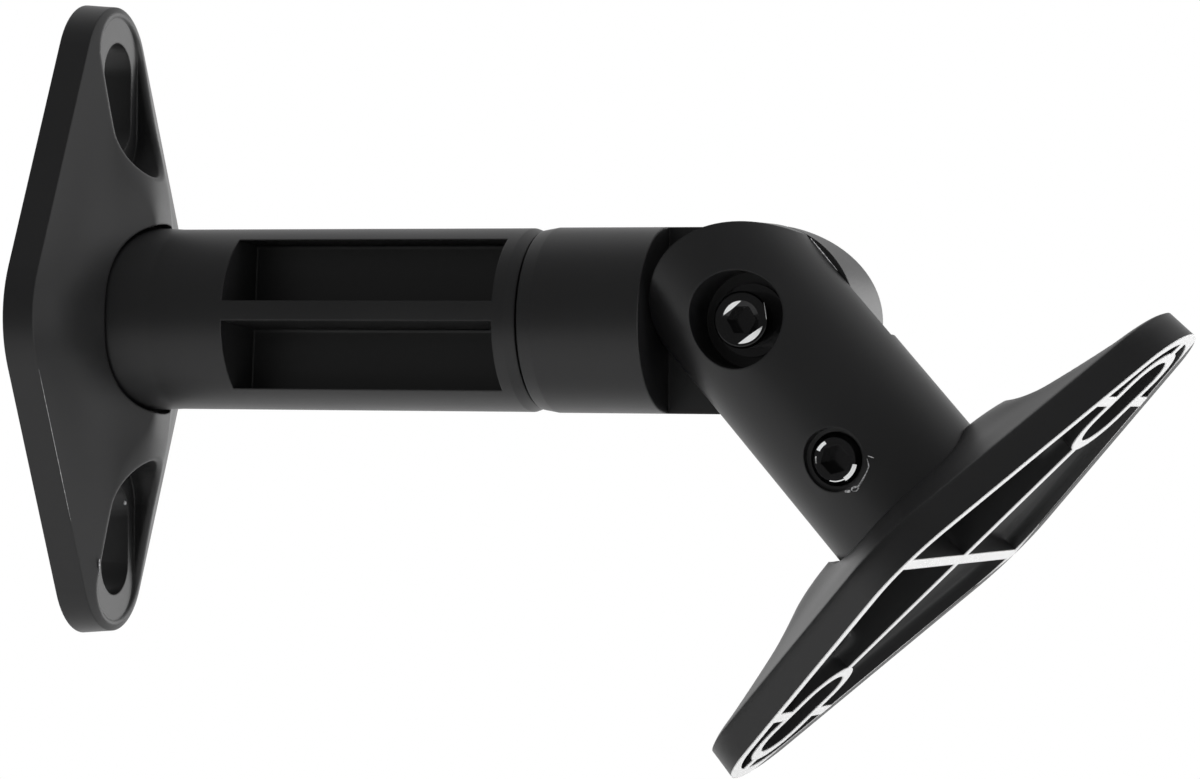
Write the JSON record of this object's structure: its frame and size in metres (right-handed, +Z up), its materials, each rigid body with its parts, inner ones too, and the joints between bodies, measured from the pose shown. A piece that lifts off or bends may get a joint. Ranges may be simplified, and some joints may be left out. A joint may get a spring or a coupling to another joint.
{
  "type": "speaker wall bracket",
  "caption": "Adjustable wall bracket for a small speaker: a round arm between two slotted diamond-shaped plates, with a swivel, a tilt knuckle and a turning end plate.",
  "frame": {"origin": "middle of the wall plate's back face, on the arm's axis", "axes": "+X out of the wall along the arm, +Z up, +Y across the bracket from the side with the pivot screw's head to the side with its nut"},
  "size_m": [0.1802, 0.06, 0.1197],
  "materials": {
    "moulded_plastic": "black, satin with a fine moulded texture",
    "black_steel": "gloss black"
  },
  "bodies": {
    "wall_side": {"wall_plate": "moulded_plastic", "arm_tube": "moulded_plastic", "foot_set_screw": "black_steel"},
    "neck": {"swivel_neck": "moulded_plastic", "neck_set_screw": "black_steel", "pivot_screw": "black_steel", "pivot_washer": "black_steel", "pivot_nut": "black_steel"},
    "tilting_arm": {"tilt_arm": "moulded_plastic", "plate_set_screw": "black_steel"},
    "speaker_side": {"speaker_plate": "moulded_plastic"}
  },
  "joints": [
    {"name": "swivel", "type": "hinge", "parent": "wall_side", "child": "neck", "pos_m": [0.0785, 0, 0], "axis": [1, 0, 0], "continuous": true},
    {"name": "tilt", "type": "hinge", "parent": "neck", "child": "tilting_arm", "pos_m": [0.1133, 0, 0], "axis": [0, 1, 0], "range_deg": [-138, 41]},
    {"name": "plate_turn", "type": "hinge", "parent": "tilting_arm", "child": "speaker_side", "pos_m": [0.14497, 0, -0.0358], "axis": [0.6928, 0, -0.7212], "continuous": true}
  ]
}
